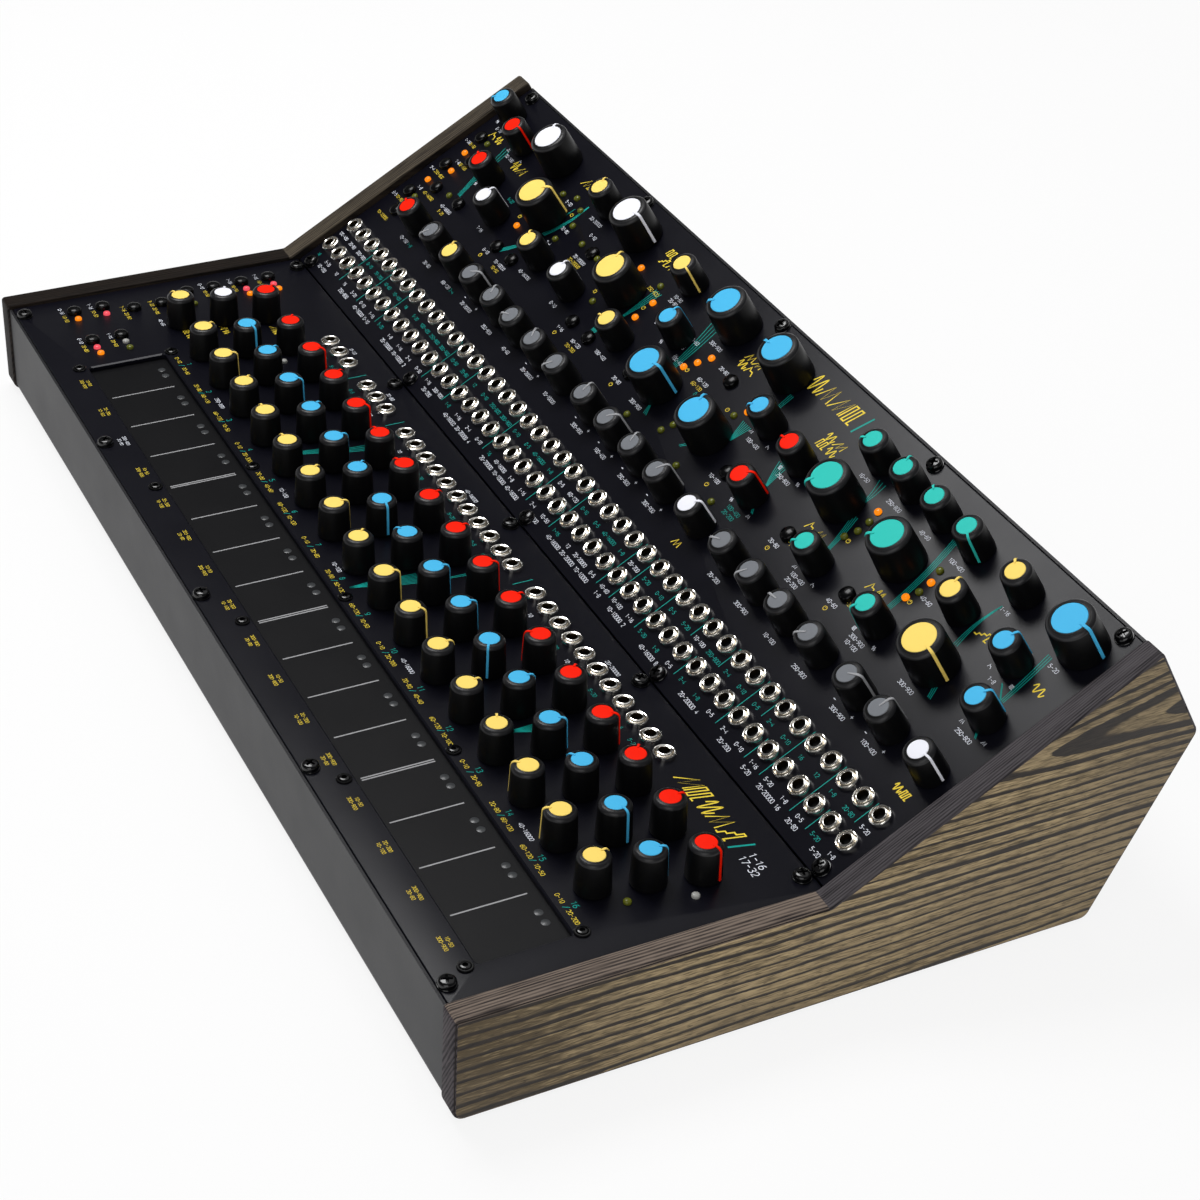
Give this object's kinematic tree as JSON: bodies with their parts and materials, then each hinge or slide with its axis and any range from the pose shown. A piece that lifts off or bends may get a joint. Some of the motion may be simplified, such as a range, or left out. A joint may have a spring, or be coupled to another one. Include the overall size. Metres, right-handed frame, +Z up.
{
  "type": "modular synthesizer",
  "caption": "Desktop modular synthesizer: two black panels of knobs, jack sockets and touch pads in a folded steel case between wooden cheeks.",
  "frame": {"origin": "centre of the footprint, on the surface that the feet stand on", "axes": "+X to the player's right along the panels, +Y from the front edge to the back, +Z up"},
  "size_m": [0.4826, 0.2644, 0.1164],
  "materials": {
    "stained_wood": "olive-brown stained ash, satin",
    "case_sheet": "satin black powder coat",
    "panel": "matt black with printed marks, nickel jack nuts",
    "touch_plate": "matt black with thin light lines",
    "rail": "plain extruded",
    "circuit_board": "green solder mask",
    "ribbon": "grey",
    "black_plastic": "black moulded",
    "foot": "black",
    "knob": "soft black with a coloured cap and pointer line",
    "button": "black, domed"
  },
  "bodies": {
    "case": {"upper_panel": "panel", "upper_front_rail": "rail", "upper_back_rail": "rail", "upper_board": "circuit_board", "power_inlet": "black_plastic", "switch_bezel": "black_plastic", "left_cheek": "stained_wood", "right_cheek": "stained_wood", "case_tray": "case_sheet", "lower_panel": "panel", "touch_plate": "touch_plate", "lower_front_rail": "rail", "lower_back_rail": "rail", "lower_board": "circuit_board", "power_board": "circuit_board", "lower_ribbon": "ribbon", "upper_ribbon": "ribbon", "front_left_foot": "foot", "front_right_foot": "foot", "rear_left_foot": "foot", "rear_right_foot": "foot"},
    "large_knob_01": {"large_knob_01": "knob"},
    "large_knob_02": {"large_knob_02": "knob"},
    "large_knob_03": {"large_knob_03": "knob"},
    "large_knob_04": {"large_knob_04": "knob"},
    "large_knob_05": {"large_knob_05": "knob"},
    "large_knob_06": {"large_knob_06": "knob"},
    "large_knob_07": {"large_knob_07": "knob"},
    "large_knob_08": {"large_knob_08": "knob"},
    "large_knob_09": {"large_knob_09": "knob"},
    "large_knob_10": {"large_knob_10": "knob"},
    "large_knob_11": {"large_knob_11": "knob"},
    "large_knob_12": {"large_knob_12": "knob"},
    "upper_knob_01": {"upper_knob_01": "knob"},
    "upper_knob_02": {"upper_knob_02": "knob"},
    "upper_knob_03": {"upper_knob_03": "knob"},
    "upper_knob_04": {"upper_knob_04": "knob"},
    "upper_button_01": {"upper_button_01": "button"},
    "upper_button_02": {"upper_button_02": "button"},
    "upper_button_03": {"upper_button_03": "button"},
    "power_rocker": {"power_rocker": "black_plastic"},
    "lower_knob_01": {"lower_knob_01": "knob"},
    "lower_knob_02": {"lower_knob_02": "knob"},
    "lower_knob_03": {"lower_knob_03": "knob"},
    "lower_knob_04": {"lower_knob_04": "knob"},
    "lower_knob_05": {"lower_knob_05": "knob"},
    "lower_knob_06": {"lower_knob_06": "knob"},
    "lower_knob_07": {"lower_knob_07": "knob"},
    "lower_knob_08": {"lower_knob_08": "knob"},
    "lower_knob_09": {"lower_knob_09": "knob"},
    "lower_knob_10": {"lower_knob_10": "knob"},
    "lower_knob_11": {"lower_knob_11": "knob"},
    "lower_knob_12": {"lower_knob_12": "knob"},
    "lower_knob_13": {"lower_knob_13": "knob"},
    "lower_knob_14": {"lower_knob_14": "knob"},
    "lower_knob_15": {"lower_knob_15": "knob"},
    "lower_knob_16": {"lower_knob_16": "knob"},
    "lower_knob_17": {"lower_knob_17": "knob"},
    "lower_button_01": {"lower_button_01": "button"},
    "lower_button_02": {"lower_button_02": "button"}
  },
  "joints": [
    {"name": "large_knob_01_turn", "type": "hinge", "parent": "case", "child": "large_knob_01", "pos_m": [-0.16932, 0.09923, 0.09786], "axis": [0, -0.5, 0.866], "range_deg": [-183, 117]},
    {"name": "large_knob_02_turn", "type": "hinge", "parent": "case", "child": "large_knob_02", "pos_m": [-0.09482, 0.09923, 0.09786], "axis": [0, -0.5, 0.866], "range_deg": [-72, 228]},
    {"name": "large_knob_03_turn", "type": "hinge", "parent": "case", "child": "large_knob_03", "pos_m": [-0.0113, 0.09923, 0.09786], "axis": [0, -0.5, 0.866], "range_deg": [-276, 24]},
    {"name": "large_knob_04_turn", "type": "hinge", "parent": "case", "child": "large_knob_04", "pos_m": [0.02852, 0.09923, 0.09786], "axis": [0, -0.5, 0.866], "range_deg": [-246, 54]},
    {"name": "large_knob_05_turn", "type": "hinge", "parent": "case", "child": "large_knob_05", "pos_m": [0.21715, 0.09923, 0.09786], "axis": [0, -0.5, 0.866], "range_deg": [-72, 228]},
    {"name": "large_knob_06_turn", "type": "hinge", "parent": "case", "child": "large_knob_06", "pos_m": [-0.1446, 0.08059, 0.0871], "axis": [0, -0.5, 0.866], "range_deg": [-111, 189]},
    {"name": "large_knob_07_turn", "type": "hinge", "parent": "case", "child": "large_knob_07", "pos_m": [-0.07158, 0.08059, 0.0871], "axis": [0, -0.5, 0.866], "range_deg": [-174, 126]},
    {"name": "large_knob_08_turn", "type": "hinge", "parent": "case", "child": "large_knob_08", "pos_m": [0.09848, 0.08059, 0.0871], "axis": [0, -0.5, 0.866], "range_deg": [-297, 3]},
    {"name": "large_knob_09_turn", "type": "hinge", "parent": "case", "child": "large_knob_09", "pos_m": [0.1389, 0.08059, 0.0871], "axis": [0, -0.5, 0.866], "range_deg": [-279, 21]},
    {"name": "large_knob_10_turn", "type": "hinge", "parent": "case", "child": "large_knob_10", "pos_m": [-0.01158, 0.06568, 0.07849], "axis": [0, -0.5, 0.866], "range_deg": [-78, 222]},
    {"name": "large_knob_11_turn", "type": "hinge", "parent": "case", "child": "large_knob_11", "pos_m": [0.02829, 0.06568, 0.07849], "axis": [0, -0.5, 0.866], "range_deg": [-177, 123]},
    {"name": "large_knob_12_turn", "type": "hinge", "parent": "case", "child": "large_knob_12", "pos_m": [0.18511, 0.06551, 0.07839], "axis": [0, -0.5, 0.866], "range_deg": [-57, 243]},
    {"name": "upper_knob_01_turn", "type": "hinge", "parent": "case", "child": "upper_knob_01", "pos_m": [0.0951, 0.09923, 0.09786], "axis": [0, -0.5, 0.866], "range_deg": [-267, 33]},
    {"name": "upper_knob_02_turn", "type": "hinge", "parent": "case", "child": "upper_knob_02", "pos_m": [0.11529, 0.09923, 0.09786], "axis": [0, -0.5, 0.866], "range_deg": [-177, 123]},
    {"name": "upper_knob_03_turn", "type": "hinge", "parent": "case", "child": "upper_knob_03", "pos_m": [0.13552, 0.09923, 0.09786], "axis": [0, -0.5, 0.866], "range_deg": [-210, 90]},
    {"name": "upper_knob_04_turn", "type": "hinge", "parent": "case", "child": "upper_knob_04", "pos_m": [0.15571, 0.09923, 0.09786], "axis": [0, -0.5, 0.866], "range_deg": [-30, 270]},
    {"name": "upper_button_01_press", "type": "slide", "parent": "case", "child": "upper_button_01", "axis": [0, 0.5, -0.866], "range_m": [0, 0.0004], "stiffness_N_per_m": 400},
    {"name": "upper_button_02_press", "type": "slide", "parent": "case", "child": "upper_button_02", "axis": [0, 0.5, -0.866], "range_m": [0, 0.0004], "stiffness_N_per_m": 400},
    {"name": "upper_button_03_press", "type": "slide", "parent": "case", "child": "upper_button_03", "axis": [0, 0.5, -0.866], "range_m": [0, 0.0004], "stiffness_N_per_m": 400},
    {"name": "power_rocker_tilt", "type": "hinge", "parent": "case", "child": "power_rocker", "pos_m": [-0.1385, 0.12387, 0.08553], "axis": [0, 0.5, -0.866], "range_deg": [0, 16]},
    {"name": "lower_knob_01_turn", "type": "hinge", "parent": "case", "child": "lower_knob_01", "pos_m": [-0.19305, -0.06766, 0.041], "axis": [0, 0, 1], "range_deg": [-267, 33]},
    {"name": "lower_knob_02_turn", "type": "hinge", "parent": "case", "child": "lower_knob_02", "pos_m": [-0.16386, -0.06766, 0.041], "axis": [0, 0, 1], "range_deg": [-171, 129]},
    {"name": "lower_knob_03_turn", "type": "hinge", "parent": "case", "child": "lower_knob_03", "pos_m": [-0.13947, -0.06766, 0.041], "axis": [0, 0, 1], "range_deg": [-132, 168]},
    {"name": "lower_knob_04_turn", "type": "hinge", "parent": "case", "child": "lower_knob_04", "pos_m": [-0.11509, -0.06766, 0.041], "axis": [0, 0, 1], "range_deg": [-195, 105]},
    {"name": "lower_knob_05_turn", "type": "hinge", "parent": "case", "child": "lower_knob_05", "pos_m": [-0.09071, -0.06766, 0.041], "axis": [0, 0, 1], "range_deg": [-243, 57]},
    {"name": "lower_knob_06_turn", "type": "hinge", "parent": "case", "child": "lower_knob_06", "pos_m": [-0.06632, -0.06766, 0.041], "axis": [0, 0, 1], "range_deg": [-249, 51]},
    {"name": "lower_knob_07_turn", "type": "hinge", "parent": "case", "child": "lower_knob_07", "pos_m": [-0.04194, -0.06766, 0.041], "axis": [0, 0, 1], "range_deg": [-183, 117]},
    {"name": "lower_knob_08_turn", "type": "hinge", "parent": "case", "child": "lower_knob_08", "pos_m": [-0.01755, -0.06766, 0.041], "axis": [0, 0, 1], "range_deg": [-147, 153]},
    {"name": "lower_knob_09_turn", "type": "hinge", "parent": "case", "child": "lower_knob_09", "pos_m": [0.00683, -0.06766, 0.041], "axis": [0, 0, 1], "range_deg": [-198, 102]},
    {"name": "lower_knob_10_turn", "type": "hinge", "parent": "case", "child": "lower_knob_10", "pos_m": [0.03121, -0.06766, 0.041], "axis": [0, 0, 1], "range_deg": [-126, 174]},
    {"name": "lower_knob_11_turn", "type": "hinge", "parent": "case", "child": "lower_knob_11", "pos_m": [0.0556, -0.06766, 0.041], "axis": [0, 0, 1], "range_deg": [-108, 192]},
    {"name": "lower_knob_12_turn", "type": "hinge", "parent": "case", "child": "lower_knob_12", "pos_m": [0.07998, -0.06766, 0.041], "axis": [0, 0, 1], "range_deg": [-150, 150]},
    {"name": "lower_knob_13_turn", "type": "hinge", "parent": "case", "child": "lower_knob_13", "pos_m": [0.10437, -0.06766, 0.041], "axis": [0, 0, 1], "range_deg": [-159, 141]},
    {"name": "lower_knob_14_turn", "type": "hinge", "parent": "case", "child": "lower_knob_14", "pos_m": [0.12875, -0.06766, 0.041], "axis": [0, 0, 1], "range_deg": [-216, 84]},
    {"name": "lower_knob_15_turn", "type": "hinge", "parent": "case", "child": "lower_knob_15", "pos_m": [0.15313, -0.06766, 0.041], "axis": [0, 0, 1], "range_deg": [-285, 15]},
    {"name": "lower_knob_16_turn", "type": "hinge", "parent": "case", "child": "lower_knob_16", "pos_m": [0.17752, -0.06766, 0.041], "axis": [0, 0, 1], "range_deg": [-300, 0]},
    {"name": "lower_knob_17_turn", "type": "hinge", "parent": "case", "child": "lower_knob_17", "pos_m": [0.2019, -0.06766, 0.041], "axis": [0, 0, 1], "range_deg": [-165, 135]},
    {"name": "lower_button_01_press", "type": "slide", "parent": "case", "child": "lower_button_01", "axis": [0, 0, -1], "range_m": [0, 0.0004], "stiffness_N_per_m": 400},
    {"name": "lower_button_02_press", "type": "slide", "parent": "case", "child": "lower_button_02", "axis": [0, 0, -1], "range_m": [0, 0.0004], "stiffness_N_per_m": 400}
  ]
}
